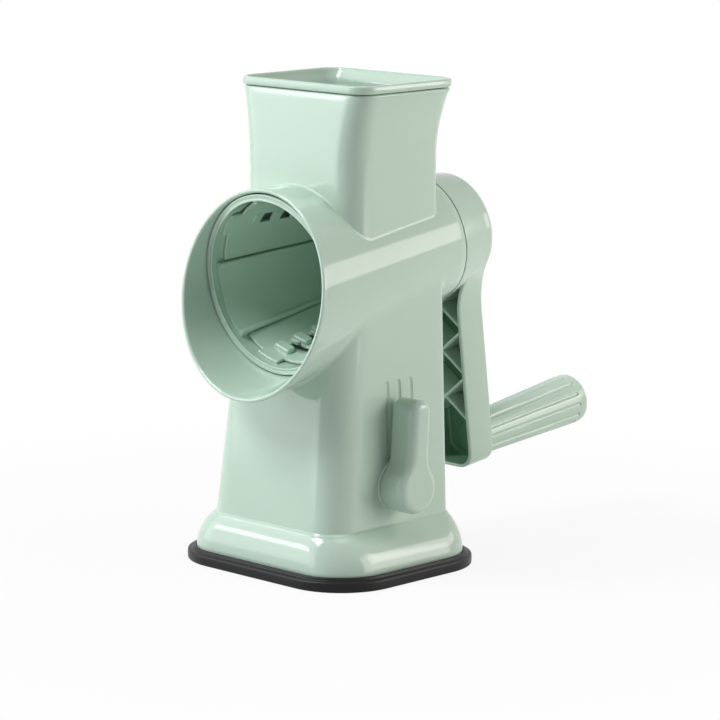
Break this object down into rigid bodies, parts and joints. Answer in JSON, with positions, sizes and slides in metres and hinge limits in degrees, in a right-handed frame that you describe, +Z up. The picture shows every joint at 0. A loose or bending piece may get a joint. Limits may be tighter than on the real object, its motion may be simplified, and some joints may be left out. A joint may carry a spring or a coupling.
{
  "type": "rotary cabbage shredder",
  "caption": "Hand-cranked rotary cabbage shredder with a square hopper and pusher, a tilted open barrel with a shredding drum, a side lever and a suction foot.",
  "frame": {"origin": "middle of the underside of the rubber foot", "axes": "+Z up, -Y the front with the mouth of the barrel, +Y the back with the crank, +X the side with the suction lever"},
  "size_m": [0.122, 0.2345, 0.23],
  "materials": {
    "mint_gloss": "glossy",
    "white_inner": "satin",
    "black_rubber": "satin",
    "steel": "satin"
  },
  "bodies": {
    "housing": {"body_shell": "mint_gloss", "base_skirt": "mint_gloss", "base_plate": "mint_gloss", "base_screws": "steel", "suction_pad": "black_rubber", "bearing_bush": "white_inner"},
    "crank": {"crank_arm": "mint_gloss", "crank_screw": "steel", "drive_shaft": "white_inner", "drum_frame": "mint_gloss", "shredding_plate_1": "mint_gloss", "shredding_plate_2": "mint_gloss", "shredding_plate_3": "mint_gloss", "drum_clip": "steel", "shaft_washer": "white_inner", "grip_axle": "steel", "grip_collar": "mint_gloss", "grip_clip": "steel"},
    "grip": {"grip": "mint_gloss"},
    "pusher": {"food_pusher": "mint_gloss"},
    "lever": {"suction_lever": "mint_gloss", "cam_shaft": "steel", "suction_cam": "white_inner", "shaft_clip": "steel"},
    "stem": {"suction_stem": "white_inner"}
  },
  "joints": [
    {"name": "crank_turn", "type": "hinge", "parent": "housing", "child": "crank", "pos_m": [0, 0, 0.1412], "axis": [0, 0.9923, 0.1236], "continuous": true},
    {"name": "grip_spin", "type": "hinge", "parent": "crank", "child": "grip", "pos_m": [0, 0.11246, 0.04738], "axis": [0, 0.9923, 0.1236], "continuous": true},
    {"name": "pusher_slide", "type": "slide", "parent": "housing", "child": "pusher", "axis": [0, 0, 1], "range_m": [0, 0.045]},
    {"name": "lever_turn", "type": "hinge", "parent": "housing", "child": "lever", "pos_m": [0.04, 0.002, 0.0425], "axis": [-1, 0, 0], "range_deg": [0, 90]},
    {"name": "stem_lift", "type": "slide", "parent": "housing", "child": "stem", "axis": [0, 0, 1], "range_m": [0, 0.003]}
  ],
  "couplings": [
    {"joint": "lever_turn", "follows": "stem_lift", "rad_per_m": 523.59}
  ]
}
